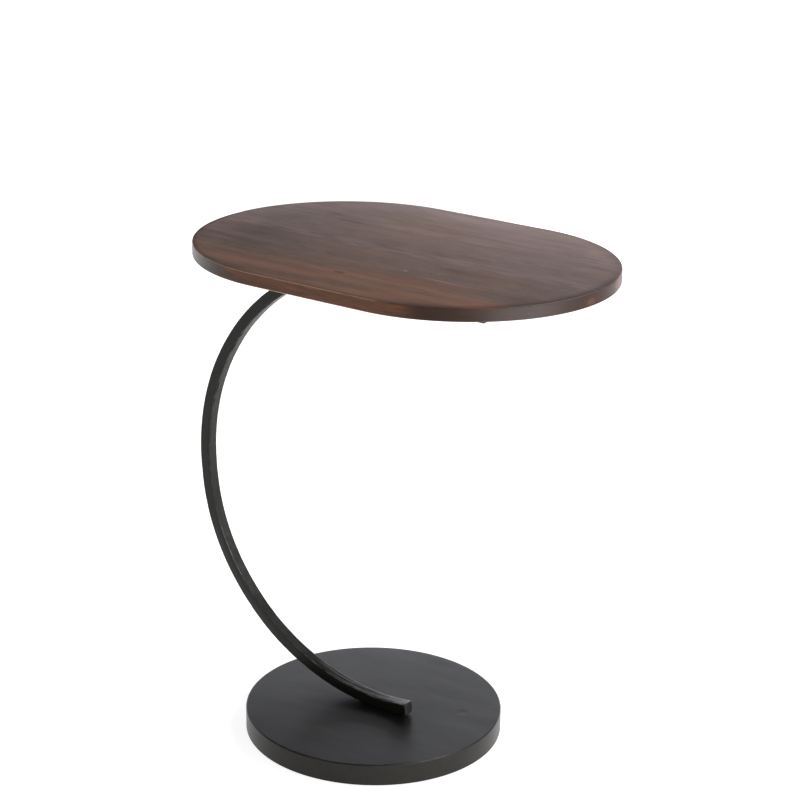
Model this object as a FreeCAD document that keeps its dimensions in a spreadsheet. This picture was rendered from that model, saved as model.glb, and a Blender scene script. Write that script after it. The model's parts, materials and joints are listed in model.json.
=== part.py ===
# C shaped side table: a solid wood top of glued staves carried by a steel frame, a C shaped
# arm of square bar and a weighted round base.
# Millimetres. The origin is on the floor under the middle of the base. +X points to the open
# side of the C, +Y across the table and +Z up.

import FreeCAD, Part
import math
import os
import Sketcher

driving_sizes = {
    # whole table
    "overall_height": 610,
    # wood top: a stadium of four staves that run along X
    "top_length": 514,
    "top_width": 364,
    "top_thickness": 15,
    "top_offset": 34,
    "top_edge_radius": 2,
    "front_stave_width": 71,
    "mid_front_stave_width": 92,
    "back_stave_width": 113,
    # flat bar frame under the top
    "cleat_width": 25,
    "cleat_thickness": 5,
    "cleat_end_inset": 65,
    "cleat_side_inset": 57,
    "spine_width": 40,
    "spine_thickness": 6,
    # C shaped arm of square bar
    "bar_width": 14,
    "bar_corner_radius": 1,
    "arm_offset": 10.5,
    "arm_tail": 42.5,
    "seat_depth": 0.8,
    "bar_skin": 4,
    # round base
    "base_diameter": 313,
    "base_height": 26.5,
    "base_edge_radius": 1.5,
    "cover_wall": 2,
    "ballast_diameter": 270,
    "ballast_chamfer": 2,
    "plate_thickness": 2.5,
    "plate_gap": 0.5,
    "pad_thickness": 5,
    "pad_standout": 1.5,
    "pad_inset": 6,
    "pad_edge_radius": 1,
    # bolts that hold the arm on the base
    "bolt_spacing": 24,
    "bolt_diameter": 8,
    "bolt_length": 20,
    "bolt_head_flats": 13,
    "bolt_head_height": 5.3,
    "washer_diameter": 16,
    "washer_thickness": 1.6,
    "lock_washer_diameter": 14.8,
    "lock_washer_thickness": 2,
    "lock_washer_split": 1.5,
    "counterbore_gap": 2,
    # countersunk screws that hold the spine on the arm
    "spine_screw_spacing": 26,
    "spine_screw_diameter": 6,
    "spine_screw_head_diameter": 11.3,
    "spine_screw_head_height": 3.3,
    # wood screws that hold the top on the cleats
    "wood_screw_diameter": 4,
    "wood_screw_head_diameter": 8,
    "wood_screw_head_height": 2.6,
    "wood_screw_end_inset": 29,
    "wood_screw_tip": 3,
    "wood_skin": 4,
    # countersunk screws that hold the plate under the ballast
    "plate_screw_inset": 20,
    "plate_screw_diameter": 4,
    "plate_screw_length": 12,
    "plate_screw_head_diameter": 7.5,
    "plate_screw_head_height": 2.2,
    # drive sockets and clearances shared by the fasteners
    "wood_screw_socket": 2.5,
    "spine_screw_socket": 4,
    "plate_screw_socket": 2.5,
    "socket_depth": 1.4,
    "hole_gap": 0.4,
    "thread_gap": 0.1,
    "tip_gap": 1.2,
}
wood_screws_per_cleat = 4
plate_screw_count = 4
hex_sides = 6
cutter_margin = 2  # how far a cutting shape runs past what it cuts

doc = FreeCAD.newDocument("side_table")
sheet = doc.addObject("Spreadsheet::Sheet", "sizes")
for row, (alias, value) in enumerate(driving_sizes.items(), start=1):
    sheet.set(f"A{row}", alias)
    sheet.set(f"B{row}", str(value))
    sheet.setAlias(f"B{row}", alias)
doc.recompute()

# Levels above the floor, as expressions of the sheet's sizes
plate_underside = "sizes.pad_thickness"
plate_top = f"({plate_underside} + sizes.plate_thickness)"
base_top = "(sizes.pad_standout + sizes.base_height)"
cover_ceiling = f"({base_top} - sizes.cover_wall)"
top_underside = "(sizes.overall_height - sizes.top_thickness)"
cleat_underside = f"({top_underside} - sizes.cleat_thickness)"
spine_underside = f"({cleat_underside} - sizes.spine_thickness)"

# The arm's circle just reaches past both seats, where it is ground flat
arm_level = f"(({base_top} + {spine_underside}) / 2)"
arm_outer_radius = f"(({spine_underside} - {base_top}) / 2 + sizes.seat_depth)"
arm_radius = f"({arm_outer_radius} - sizes.bar_width / 2)"

# Under the top, the cleats' outer edges and the spine's ends share one reach
frame_reach = "(sizes.top_length / 2 - sizes.cleat_end_inset)"
cleat_half_length = "(sizes.top_width / 2 - sizes.cleat_side_inset)"

# Fastener lengths and the stack that the arm's bolts clamp
tapped_depth = "(sizes.bar_width - sizes.seat_depth - sizes.bar_skin)"
thread_length = f"({tapped_depth} - sizes.tip_gap)"
washers = "(sizes.washer_thickness + sizes.lock_washer_thickness)"
bolt_seat = f"({base_top} + {thread_length} - sizes.bolt_length)"
counterbore_level = f"({bolt_seat} + {washers})"
wood_bite = "(sizes.top_thickness - sizes.wood_skin)"
plate_screw_ring = "(sizes.ballast_diameter / 2 - sizes.plate_screw_inset)"

subparts = []


def new_body(name, is_subpart=True):
    body = doc.addObject("PartDesign::Body", name)
    body.Label = name
    if is_subpart:
        subparts.append(body)
    return body


def origin_feature(body, role):
    for feature in body.Origin.OriginFeatures:
        if feature.Role == role:
            return feature


def new_sketch(body, name, role="XY_Plane", x="0", y="0", z="0"):
    """A sketch on one of the body's origin planes, shifted in that plane's own axes."""
    sketch = body.newObject("Sketcher::SketchObject", name)
    sketch.AttachmentSupport = (origin_feature(body, role), [""])
    sketch.MapMode = "FlatFace"
    for axis, place in (("x", x), ("y", y), ("z", z)):
        sketch.setExpression("AttachmentOffset.Base." + axis, place)
    return sketch


def fix(sketch, label, constraint, expression):
    number = sketch.addConstraint(constraint)
    sketch.renameConstraint(number, label)
    sketch.setExpression("Constraints." + label, expression)


def value_of(expression):
    """The present value of an expression, used only as a sketch's starting guess."""
    result = sheet.evalExpression(expression.replace("sizes.", ""))
    return float(getattr(result, "Value", result))


def place_point(sketch, item, point, x, y):
    """Fixes a point of a sketch's item by its signed distances from the sketch's origin."""
    name = f"_{item}_{point}"
    fix(sketch, "x" + name, Sketcher.Constraint("DistanceX", -1, 1, item, point, value_of(x)), x)
    fix(sketch, "y" + name, Sketcher.Constraint("DistanceY", -1, 1, item, point, value_of(y)), y)


def add_outline(sketch, points):
    """A closed outline of straight lines through points given as pairs of expressions."""
    corners = [FreeCAD.Vector(value_of(x), value_of(y), 0) for x, y in points]
    lines = []
    for start, end in zip(corners, corners[1:] + corners[:1]):
        lines.append(sketch.addGeometry(Part.LineSegment(start, end), False))
    for line, following in zip(lines, lines[1:] + lines[:1]):
        sketch.addConstraint(Sketcher.Constraint("Coincident", line, 2, following, 1))
    for line, (x, y) in zip(lines, points):
        place_point(sketch, line, 1, x, y)


def add_circle(sketch, radius, x="0", y="0"):
    centre = FreeCAD.Vector(value_of(x), value_of(y), 0)
    circle = Part.Circle(centre, FreeCAD.Vector(0, 0, 1), value_of(radius))
    item = sketch.addGeometry(circle, False)
    place_point(sketch, item, 3, x, y)
    fix(sketch, f"radius_{item}", Sketcher.Constraint("Radius", item, value_of(radius)), radius)


def add_rectangle(sketch, left, right, low, high):
    add_outline(sketch, [(left, low), (right, low), (right, high), (left, high)])


def add_hexagon(sketch, across_flats):
    points = []
    for side in range(hex_sides):
        angle = 2 * math.pi * side / hex_sides
        reach = f"{across_flats} / 2 / {math.cos(math.pi / hex_sides):.12f}"
        points.append((f"{reach} * {math.cos(angle):.12f}", f"{reach} * {math.sin(angle):.12f}"))
    add_outline(sketch, points)


def add_feature(body, kind, name, profile, reversed_way=False, midplane=False, **sizes):
    feature = body.newObject("PartDesign::" + kind, name)
    feature.Profile = profile
    feature.Reversed = reversed_way
    feature.Midplane = midplane
    if kind in ("Revolution", "Groove"):
        feature.ReferenceAxis = (profile, ["V_Axis"])
    for prop, expression in sizes.items():
        feature.setExpression(prop, expression)
    doc.recompute()
    return feature


def turn(body, name, points, x="0"):
    """A solid of revolution about an upright axis at x: points are (radius, level)."""
    sketch = new_sketch(body, name + "_profile", "XZ_Plane", x=x)
    add_outline(sketch, points)
    return add_feature(body, "Revolution", name, sketch, Angle="360 deg")


def edges_on(shape, test):
    return [f"Edge{k}" for k, edge in enumerate(shape.Edges, start=1) if test(edge)]


def dress_edges(body, kind, name, base, edges, prop, expression):
    """A fillet or chamfer on edges of the body's last feature."""
    feature = body.newObject("PartDesign::" + kind, name)
    feature.Base = (base, edges)
    feature.setExpression(prop, expression)
    doc.recompute()
    return feature


def at_level(expression):
    level = value_of(expression)
    return lambda edge: abs(edge.BoundBox.ZMin - level) + abs(edge.BoundBox.ZMax - level) < 1e-5


def repeat_along(body, name, originals, axis, length, count):
    pattern = body.newObject("PartDesign::LinearPattern", name)
    pattern.Originals = originals
    pattern.Direction = (origin_feature(body, axis), [""])
    pattern.setExpression("Length", length)
    pattern.Occurrences = count
    body.Tip = pattern
    doc.recompute()
    return pattern


def repeat_around(body, name, originals, count):
    pattern = body.newObject("PartDesign::PolarPattern", name)
    pattern.Originals = originals
    pattern.Axis = (origin_feature(body, "Z_Axis"), [""])
    pattern.Angle = 360
    pattern.Occurrences = count
    body.Tip = pattern
    doc.recompute()
    return pattern


def half(expression):
    return f"({expression}) / 2"


def screw_hole_radius(diameter):
    return f"({diameter} / 2 + sizes.hole_gap / 2)"


def thread_hole_radius(diameter):
    return f"({diameter} / 2 + sizes.thread_gap)"


# ---- wood top ----

def cleat_screw_rows():
    """x of the screws in each cleat and y of each screw, from the sheet's sizes."""
    columns = []
    for side in ("-", "+"):
        columns.append(f"sizes.top_offset {side} ({frame_reach} - sizes.cleat_width / 2)")
    outer = f"({cleat_half_length} - sizes.wood_screw_end_inset)"
    rows = []
    for k in range(wood_screws_per_cleat):
        rows.append(f"{outer} * {2 * k / (wood_screws_per_cleat - 1) - 1:.12f}")
    return columns, rows


def make_panel():
    """The whole glued panel, with rounded edges and pilot holes, before it is split in staves."""
    body = new_body("top_panel", is_subpart=False)
    outline = new_sketch(body, "panel_outline", x="sizes.top_offset", z=top_underside)
    end_radius = "sizes.top_width / 2"
    end_centre = "(sizes.top_length - sizes.top_width) / 2"
    up = FreeCAD.Vector(0, 0, 1)
    radius = value_of(end_radius)
    reach = value_of(end_centre)
    quarter = math.pi / 2
    right = Part.ArcOfCircle(Part.Circle(FreeCAD.Vector(reach, 0, 0), up, radius), -quarter, quarter)
    left = Part.ArcOfCircle(Part.Circle(FreeCAD.Vector(-reach, 0, 0), up, radius), quarter, 3 * quarter)
    corner = FreeCAD.Vector(reach, radius, 0)
    far_corner = FreeCAD.Vector(-reach, radius, 0)
    back = Part.LineSegment(corner, far_corner)
    front = Part.LineSegment(-corner, -far_corner)
    for curve in (right, back, left, front):
        outline.addGeometry(curve, False)
    for curve in range(4):
        outline.addConstraint(Sketcher.Constraint("Tangent", curve, 2, (curve + 1) % 4, 1))
    place_point(outline, 0, 3, end_centre, "0")
    place_point(outline, 2, 3, f"0 - {end_centre}", "0")
    fix(outline, "end_radius", Sketcher.Constraint("Radius", 0, radius), end_radius)
    panel = add_feature(body, "Pad", "panel", outline, Length="sizes.top_thickness")

    rims = edges_on(panel.Shape, at_level(top_underside))
    rims += edges_on(panel.Shape, at_level("sizes.overall_height"))
    dress_edges(body, "Fillet", "panel_rounding", panel, rims, "Radius", "sizes.top_edge_radius")

    pilots = new_sketch(body, "pilot_circles", z=top_underside)
    columns, rows = cleat_screw_rows()
    for x in columns:
        for y in rows:
            add_circle(pilots, thread_hole_radius("sizes.wood_screw_diameter"), x, y)
    depth = f"{wood_bite} + sizes.tip_gap"
    add_feature(body, "Pocket", "pilot_holes", pilots, reversed_way=True, Length=depth)
    return body


def make_staves():
    panel = make_panel()
    margin = str(cutter_margin)
    front_edge = "(0 - sizes.top_width / 2)"
    first_seam = f"({front_edge} + sizes.front_stave_width)"
    second_seam = f"({first_seam} + sizes.mid_front_stave_width)"
    third_seam = "(sizes.top_width / 2 - sizes.back_stave_width)"
    past_front = f"({front_edge} - {margin})"
    past_back = f"(sizes.top_width / 2 + {margin})"
    lanes = [
        ("stave_front", past_front, first_seam),
        ("stave_mid_front", first_seam, second_seam),
        ("stave_mid_back", second_seam, third_seam),
        ("stave_back", third_seam, past_back),
    ]
    for name, near, far in lanes:
        lane = doc.addObject("Part::Box", name + "_lane")
        lane.setExpression("Length", f"sizes.top_length + 2 * {margin}")
        lane.setExpression("Width", f"{far} - {near}")
        lane.setExpression("Height", f"sizes.top_thickness + 2 * {margin}")
        left = f"sizes.top_offset - sizes.top_length / 2 - {margin}"
        lane.setExpression(".Placement.Base.x", left)
        lane.setExpression(".Placement.Base.y", near)
        lane.setExpression(".Placement.Base.z", f"{top_underside} - {margin}")
        stave = doc.addObject("Part::Common", name)
        stave.Base = panel
        stave.Tool = lane
        stave.Label = name
        subparts.append(stave)


# ---- steel frame under the top ----

def make_cleats():
    columns, rows = cleat_screw_rows()
    for name, middle in zip(("cleat_left", "cleat_right"), columns):
        body = new_body(name)
        outline = new_sketch(body, name + "_outline", z=cleat_underside)
        left = f"{middle} - sizes.cleat_width / 2"
        right = f"{middle} + sizes.cleat_width / 2"
        add_rectangle(outline, left, right, f"0 - {cleat_half_length}", cleat_half_length)
        add_feature(body, "Pad", name + "_bar", outline, Length="sizes.cleat_thickness")
        holes = new_sketch(body, name + "_circles", z=cleat_underside)
        for y in rows:
            add_circle(holes, screw_hole_radius("sizes.wood_screw_diameter"), middle, y)
        depth = "sizes.cleat_thickness"
        add_feature(body, "Pocket", name + "_holes", holes, reversed_way=True, Length=depth)


def spine_screw_sides():
    for side in ("-", "+"):
        yield f"sizes.arm_offset {side} sizes.spine_screw_spacing / 2"


def make_spine():
    """A flat bar that crosses both cleats and is welded to them, with countersunk holes."""
    body = new_body("spine")
    outline = new_sketch(body, "spine_outline", z=spine_underside)
    left = f"sizes.top_offset - {frame_reach}"
    right = f"sizes.top_offset + {frame_reach}"
    add_rectangle(outline, left, right, "0 - sizes.spine_width / 2", "sizes.spine_width / 2")
    add_feature(body, "Pad", "spine_bar", outline, Length="sizes.spine_thickness")
    hole = screw_hole_radius("sizes.spine_screw_diameter")
    mouth = screw_hole_radius("sizes.spine_screw_head_diameter")
    sink = f"{cleat_underside} - sizes.spine_screw_head_height"
    for k, x in enumerate(spine_screw_sides()):
        cut = new_sketch(body, f"spine_hole_profile_{k}", "XZ_Plane", x=x)
        points = [("0", spine_underside), (hole, spine_underside), (hole, sink),
                  (mouth, cleat_underside), ("0", cleat_underside)]
        add_outline(cut, points)
        add_feature(body, "Groove", f"spine_hole_{k}", cut, Angle="360 deg")


# ---- arm ----

def make_arm():
    """Square bar rolled to a circle, from under the top round the closed side to the base."""
    body = new_body("c_arm")
    section = new_sketch(body, "bar_section", x="sizes.arm_offset", z=arm_level)
    inner = f"0 - {arm_outer_radius} + sizes.bar_width"
    outer = f"0 - {arm_outer_radius}"
    add_rectangle(section, outer, inner, "0 - sizes.bar_width / 2", "sizes.bar_width / 2")
    sweep = f"180 deg + 2 * asin(sizes.arm_tail / {arm_radius})"
    arc = add_feature(body, "Revolution", "rolled_bar", section, midplane=True, Angle=sweep)

    corners = edges_on(arc.Shape, lambda edge: True)
    dress_edges(body, "Fillet", "bar_rounding", arc, corners, "Radius", "sizes.bar_corner_radius")

    # Flats ground where the arm seats on the base and under the spine
    seats = new_sketch(body, "seat_outlines", "XZ_Plane", x="sizes.arm_offset")
    margin = str(cutter_margin)
    half_seat = "sizes.arm_tail"
    low = f"{base_top} - sizes.seat_depth - {margin}"
    high = f"{spine_underside} + sizes.seat_depth + {margin}"
    add_rectangle(seats, f"0 - {half_seat}", half_seat, low, base_top)
    add_rectangle(seats, f"0 - {half_seat}", half_seat, spine_underside, high)
    width = f"sizes.bar_width + 2 * {margin}"
    add_feature(body, "Pocket", "ground_seats", seats, midplane=True, Length=width)

    bolt_holes = new_sketch(body, "bolt_hole_circles", x="sizes.arm_offset", z=base_top)
    screw_holes = new_sketch(body, "screw_hole_circles", x="sizes.arm_offset", z=spine_underside)
    for side in ("0 - ", ""):
        bolt_x = side + "sizes.bolt_spacing / 2"
        screw_x = side + "sizes.spine_screw_spacing / 2"
        add_circle(bolt_holes, thread_hole_radius("sizes.bolt_diameter"), bolt_x)
        add_circle(screw_holes, thread_hole_radius("sizes.spine_screw_diameter"), screw_x)
    depth = tapped_depth
    add_feature(body, "Pocket", "bolt_holes", bolt_holes, reversed_way=True, Length=depth)
    add_feature(body, "Pocket", "screw_holes", screw_holes, Length=depth)


# ---- base ----

def bolt_sides():
    for side in ("-", "+"):
        yield f"sizes.arm_offset {side} sizes.bolt_spacing / 2"


def make_base_cover():
    """A pressed steel pan, open below, that shows as the base."""
    body = new_body("base_cover")
    outside = new_sketch(body, "cover_circle", z="sizes.pad_standout")
    add_circle(outside, "sizes.base_diameter / 2")
    disc = add_feature(body, "Pad", "cover_disc", outside, Length="sizes.base_height")
    rim = edges_on(disc.Shape, at_level(base_top))
    dress_edges(body, "Fillet", "cover_rounding", disc, rim, "Radius", "sizes.base_edge_radius")
    inside = new_sketch(body, "cover_hollow_circle", z="sizes.pad_standout")
    add_circle(inside, "sizes.base_diameter / 2 - sizes.cover_wall")
    depth = "sizes.base_height - sizes.cover_wall"
    add_feature(body, "Pocket", "cover_hollow", inside, reversed_way=True, Length=depth)
    holes = new_sketch(body, "cover_bolt_circles", z=cover_ceiling)
    for x in bolt_sides():
        add_circle(holes, screw_hole_radius("sizes.bolt_diameter"), x)
    add_feature(body, "Pocket", "cover_bolt_holes", holes, reversed_way=True,
                Length="sizes.cover_wall")


def make_ballast():
    """A cast disc inside the cover; the arm's bolts pass up through it from counterbores."""
    body = new_body("ballast")
    outside = new_sketch(body, "ballast_circle", z=plate_top)
    add_circle(outside, "sizes.ballast_diameter / 2")
    thickness = f"{cover_ceiling} - {plate_top}"
    disc = add_feature(body, "Pad", "ballast_disc", outside, Length=thickness)
    rims = edges_on(disc.Shape, at_level(plate_top)) + edges_on(disc.Shape, at_level(cover_ceiling))
    dress_edges(body, "Chamfer", "ballast_edges", disc, rims, "Size", "sizes.ballast_chamfer")
    holes = new_sketch(body, "ballast_bolt_circles", z=plate_top)
    counterbores = new_sketch(body, "counterbore_circles", z=plate_top)
    for x in bolt_sides():
        add_circle(holes, screw_hole_radius("sizes.bolt_diameter"), x)
        add_circle(counterbores, "sizes.washer_diameter / 2 + sizes.counterbore_gap", x)
    add_feature(body, "Pocket", "ballast_bolt_holes", holes, reversed_way=True, Length=thickness)
    depth = f"{counterbore_level} - {plate_top}"
    add_feature(body, "Pocket", "counterbores", counterbores, reversed_way=True, Length=depth)
    tapped = new_sketch(body, "tapped_circle", z=plate_top)
    add_circle(tapped, thread_hole_radius("sizes.plate_screw_diameter"), plate_screw_ring)
    depth = "sizes.plate_screw_length - sizes.plate_thickness + sizes.tip_gap"
    hole = add_feature(body, "Pocket", "tapped_hole", tapped, reversed_way=True, Length=depth)
    repeat_around(body, "tapped_holes", [hole], plate_screw_count)


def make_bottom_plate():
    """A steel disc that closes the base, screwed to the ballast with flush screws."""
    body = new_body("bottom_plate")
    outside = new_sketch(body, "plate_circle", z=plate_underside)
    add_circle(outside, "sizes.base_diameter / 2 - sizes.cover_wall - sizes.plate_gap")
    add_feature(body, "Pad", "plate_disc", outside, Length="sizes.plate_thickness")
    hole = screw_hole_radius("sizes.plate_screw_diameter")
    mouth = screw_hole_radius("sizes.plate_screw_head_diameter")
    sink = f"{plate_underside} + sizes.plate_screw_head_height"
    cut = new_sketch(body, "plate_hole_profile", "XZ_Plane", x=plate_screw_ring)
    points = [("0", plate_underside), (mouth, plate_underside), (hole, sink),
              (hole, plate_top), ("0", plate_top)]
    add_outline(cut, points)
    groove = add_feature(body, "Groove", "plate_hole", cut, Angle="360 deg")
    repeat_around(body, "plate_holes", [groove], plate_screw_count)


def make_floor_pad():
    """A disc of rubber glued under the plate; the table stands on it."""
    body = new_body("floor_pad")
    outside = new_sketch(body, "pad_circle")
    add_circle(outside, "sizes.base_diameter / 2 - sizes.pad_inset")
    disc = add_feature(body, "Pad", "pad_disc", outside, Length="sizes.pad_thickness")
    rim = edges_on(disc.Shape, at_level("0"))
    dress_edges(body, "Fillet", "pad_rounding", disc, rim, "Radius", "sizes.pad_edge_radius")


# ---- fasteners ----

def cut_socket(body, name, x, level, across_flats, upwards):
    """A hexagon socket in a screw head, its mouth at the given level."""
    sketch = new_sketch(body, name + "_outline", x=x, z=level)
    add_hexagon(sketch, across_flats)
    return add_feature(body, "Pocket", name, sketch, reversed_way=upwards,
                       Length="sizes.socket_depth")


def make_arm_bolts():
    body = new_body("arm_bolts")
    first = next(bolt_sides())
    head = new_sketch(body, "bolt_head_outline", x=first, z=f"{bolt_seat} - sizes.bolt_head_height")
    add_hexagon(head, "sizes.bolt_head_flats")
    hexagon = add_feature(body, "Pad", "bolt_head", head, Length="sizes.bolt_head_height")
    shank = new_sketch(body, "bolt_shank_circle", x=first, z=bolt_seat)
    add_circle(shank, "sizes.bolt_diameter / 2")
    rod = add_feature(body, "Pad", "bolt_shank", shank, Length="sizes.bolt_length")
    repeat_along(body, "bolt_pair", [hexagon, rod], "X_Axis", "sizes.bolt_spacing", 2)


def make_washers():
    hole = screw_hole_radius("sizes.bolt_diameter")
    first = next(bolt_sides())
    lock_top = f"({bolt_seat} + sizes.lock_washer_thickness)"
    rings = [
        ("lock_washers", "sizes.lock_washer_diameter / 2", bolt_seat, lock_top),
        ("washers", "sizes.washer_diameter / 2", lock_top, counterbore_level),
    ]
    for name, outer, low, high in rings:
        body = new_body(name)
        ring = turn(body, name + "_ring", [(hole, low), (outer, low), (outer, high), (hole, high)],
                    x=first)
        made = [ring]
        if name == "lock_washers":
            split = new_sketch(body, "split_outline", x=first, z=low)
            half_split = "sizes.lock_washer_split / 2"
            add_rectangle(split, "0", f"{outer} + {cutter_margin}", f"0 - {half_split}", half_split)
            made.append(add_feature(body, "Pocket", "split", split, reversed_way=True,
                                    Length="sizes.lock_washer_thickness"))
        repeat_along(body, name + "_pair", made, "X_Axis", "sizes.bolt_spacing", 2)


def make_spine_screws():
    body = new_body("spine_screws")
    first = next(spine_screw_sides())
    shank = half("sizes.spine_screw_diameter")
    head = half("sizes.spine_screw_head_diameter")
    neck = f"{cleat_underside} - sizes.spine_screw_head_height"
    tip = f"{spine_underside} - {thread_length}"
    screw = turn(body, "spine_screw", [("0", tip), (shank, tip), (shank, neck),
                                       (head, cleat_underside), ("0", cleat_underside)], x=first)
    socket = cut_socket(body, "spine_screw_socket_cut", first, cleat_underside,
                        "sizes.spine_screw_socket", upwards=False)
    repeat_along(body, "spine_screw_pair", [screw, socket], "X_Axis",
                 "sizes.spine_screw_spacing", 2)


def make_cleat_screws():
    columns, rows = cleat_screw_rows()
    shank = half("sizes.wood_screw_diameter")
    rim = half("sizes.wood_screw_head_diameter")
    crown = f"({rim} - sizes.wood_screw_head_height / 3)"
    head_low = f"({cleat_underside} - sizes.wood_screw_head_height)"
    shoulder = f"({cleat_underside} - sizes.wood_screw_head_height / 3)"
    tip = f"({top_underside} + {wood_bite})"
    taper = f"({tip} - sizes.wood_screw_tip)"
    for name, x in zip(("cleat_screws_left", "cleat_screws_right"), columns):
        body = new_body(name)
        profile = new_sketch(body, name + "_profile", "XZ_Plane", x=x, z=f"0 - ({rows[0]})")
        add_outline(profile, [("0", head_low), (crown, head_low), (rim, shoulder),
                              (rim, cleat_underside), (shank, cleat_underside), (shank, taper),
                              ("0", tip)])
        screw = add_feature(body, "Revolution", name + "_turned", profile, Angle="360 deg")
        outline = new_sketch(body, name + "_socket_outline", x=x, y=rows[0], z=head_low)
        add_hexagon(outline, "sizes.wood_screw_socket")
        socket = add_feature(body, "Pocket", name + "_socket", outline, reversed_way=True,
                             Length="sizes.socket_depth")
        reach = f"2 * ({cleat_half_length} - sizes.wood_screw_end_inset)"
        repeat_along(body, name + "_row", [screw, socket], "Y_Axis", reach, wood_screws_per_cleat)


def make_plate_screws():
    body = new_body("plate_screws")
    shank = half("sizes.plate_screw_diameter")
    head = half("sizes.plate_screw_head_diameter")
    neck = f"{plate_underside} + sizes.plate_screw_head_height"
    tip = f"{plate_underside} + sizes.plate_screw_length"
    points = [("0", plate_underside), (head, plate_underside), (shank, neck), (shank, tip),
              ("0", tip)]
    screw = turn(body, "plate_screw", points, x=plate_screw_ring)
    socket = cut_socket(body, "plate_screw_socket_cut", plate_screw_ring, plate_underside,
                        "sizes.plate_screw_socket", upwards=True)
    repeat_around(body, "plate_screw_ring", [screw, socket], plate_screw_count)


def check_document():
    for item in doc.Objects:
        if "Invalid" in item.State or "Error" in item.State:
            raise RuntimeError(f"{item.Name} failed: {item.State}")
    for part in subparts:
        if part.Shape.isNull() or not part.Shape.isValid() or not part.Shape.Solids:
            raise RuntimeError(f"{part.Label} has no valid shape")


make_staves()
make_cleats()
make_spine()
make_arm()
make_base_cover()
make_ballast()
make_bottom_plate()
make_floor_pad()
make_arm_bolts()
make_washers()
make_spine_screws()
make_cleat_screws()
make_plate_screws()

doc.recompute()
check_document()
os.makedirs("parts", exist_ok=True)
for part in subparts:
    part.Shape.exportStep(f"parts/{part.Label}.step")
    solids = len(part.Shape.Solids)
    print(f"{part.Label}: {solids} solid(s), {part.Shape.Volume / 1000:.2f} cm3")
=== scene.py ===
# C shaped side table: the finish of every piece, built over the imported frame.
# Metres. +X points to the open side of the C, +Y across the table, +Z up.
import json
from math import asin, cos, hypot, pi, prod, radians, sin
import bmesh
import bpy
from mathutils import Matrix, Vector, noise


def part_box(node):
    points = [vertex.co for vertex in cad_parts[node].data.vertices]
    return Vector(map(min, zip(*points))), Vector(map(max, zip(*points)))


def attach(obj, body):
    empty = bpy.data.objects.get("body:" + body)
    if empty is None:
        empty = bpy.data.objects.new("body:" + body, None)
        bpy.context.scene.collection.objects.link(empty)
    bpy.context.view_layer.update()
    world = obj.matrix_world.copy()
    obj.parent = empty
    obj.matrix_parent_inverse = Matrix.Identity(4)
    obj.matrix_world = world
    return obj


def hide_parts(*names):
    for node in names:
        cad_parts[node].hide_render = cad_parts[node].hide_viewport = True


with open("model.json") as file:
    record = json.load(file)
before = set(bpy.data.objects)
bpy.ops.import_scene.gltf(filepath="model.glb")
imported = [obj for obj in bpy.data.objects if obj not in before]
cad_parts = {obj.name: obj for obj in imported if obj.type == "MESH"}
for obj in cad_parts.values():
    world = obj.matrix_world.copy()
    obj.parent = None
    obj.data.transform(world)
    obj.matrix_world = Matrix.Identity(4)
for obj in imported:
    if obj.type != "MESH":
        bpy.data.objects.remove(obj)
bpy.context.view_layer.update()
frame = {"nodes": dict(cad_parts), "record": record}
mm = 0.001
white = (1, 1, 1)
print("frame loaded:", len(frame["nodes"]), "nodes")


# Node helpers: a Wire is one socket, and sums on wires add Math nodes

def sumOf(operation, turned=False):
    # an operator that adds one Math node, turned round for its reflected form
    def added(self, other):
        values = (other, self) if turned else (self, other)
        return self.net.maths(operation, *values)
    return added


class Wire:
    def __init__(self, net, socket):
        self.net = net
        self.socket = socket

    def __neg__(self):
        return self * -1.0

    __add__ = __radd__ = sumOf("ADD")
    __mul__ = __rmul__ = sumOf("MULTIPLY")
    __sub__ = sumOf("SUBTRACT")
    __rsub__ = sumOf("SUBTRACT", turned=True)
    __truediv__ = sumOf("DIVIDE")
    __rtruediv__ = sumOf("DIVIDE", turned=True)
    __pow__ = sumOf("POWER")


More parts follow.
